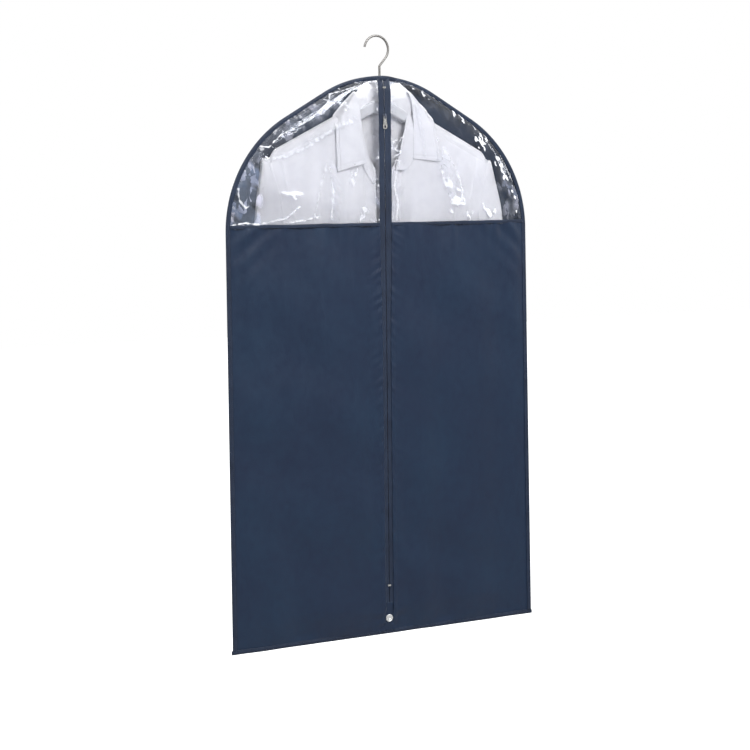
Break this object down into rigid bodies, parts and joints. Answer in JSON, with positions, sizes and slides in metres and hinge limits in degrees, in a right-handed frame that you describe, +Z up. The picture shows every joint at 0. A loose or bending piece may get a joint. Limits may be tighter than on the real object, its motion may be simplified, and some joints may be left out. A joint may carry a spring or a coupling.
{
  "type": "garment bag",
  "caption": "Hanging garment bag with an arched top, clear film windows, a full height front zip and a swivelling wire hook.",
  "frame": {"origin": "seat inside the top of the wire hook, where the rail bears", "axes": "+Z up, +Y from the zipped front to the back, +X to the right seen from the front"},
  "size_m": [0.609, 0.0358, 1.072],
  "materials": {
    "navy_cloth": "woven polyester, soft satin sheen",
    "binding_tape": "folded bias tape, stitched",
    "clear_film": "clear soft film, glossy, lightly creased",
    "zip_tape": "woven zip tape",
    "zip_coil": "nylon coil",
    "zip_metal": "bright nickel plate",
    "rivet_metal": "bright nickel plate",
    "hook_metal": "satin nickel round wire",
    "hanger_plastic": "moulded plastic, satin"
  },
  "bodies": {
    "hook": {"hook_wire": "hook_metal", "hook_stop": "hook_metal"},
    "bag": {"hanger_body": "hanger_plastic", "back_panel": "navy_cloth", "front_panel_left": "navy_cloth", "front_panel_right": "navy_cloth", "window_left": "clear_film", "window_right": "clear_film", "edge_binding_left": "binding_tape", "edge_binding_right": "binding_tape", "mouth_binding_front": "binding_tape", "mouth_binding_back": "binding_tape", "hem_binding": "binding_tape", "window_trim_left": "binding_tape", "window_trim_right": "binding_tape", "zip_tape_left": "zip_tape", "zip_tape_right": "zip_tape", "zip_coil_left": "zip_coil", "zip_coil_right": "zip_coil", "zip_top_stops": "zip_metal", "zip_bottom_stop": "zip_metal", "placket_strip": "navy_cloth", "placket_facing": "navy_cloth", "rivet_cap": "rivet_metal", "rivet_post": "rivet_metal", "rivet_washer": "rivet_metal"},
    "slider": {"zip_slider": "zip_metal"},
    "pull": {"zip_pull": "zip_metal"}
  },
  "joints": [
    {"name": "hook_swivel", "type": "hinge", "parent": "hook", "child": "bag", "pos_m": [0.0055, 0, -0.12], "axis": [0, 0, 1], "continuous": true},
    {"name": "zip_travel", "type": "slide", "parent": "bag", "child": "slider", "axis": [0, -0.0119, 0.9999], "range_m": [-0.831, 0.043]},
    {"name": "pull_swing", "type": "hinge", "parent": "slider", "child": "pull", "pos_m": [0.0055, -0.01856, -0.13903], "axis": [-1, 0, 0], "range_deg": [0, 170]}
  ]
}
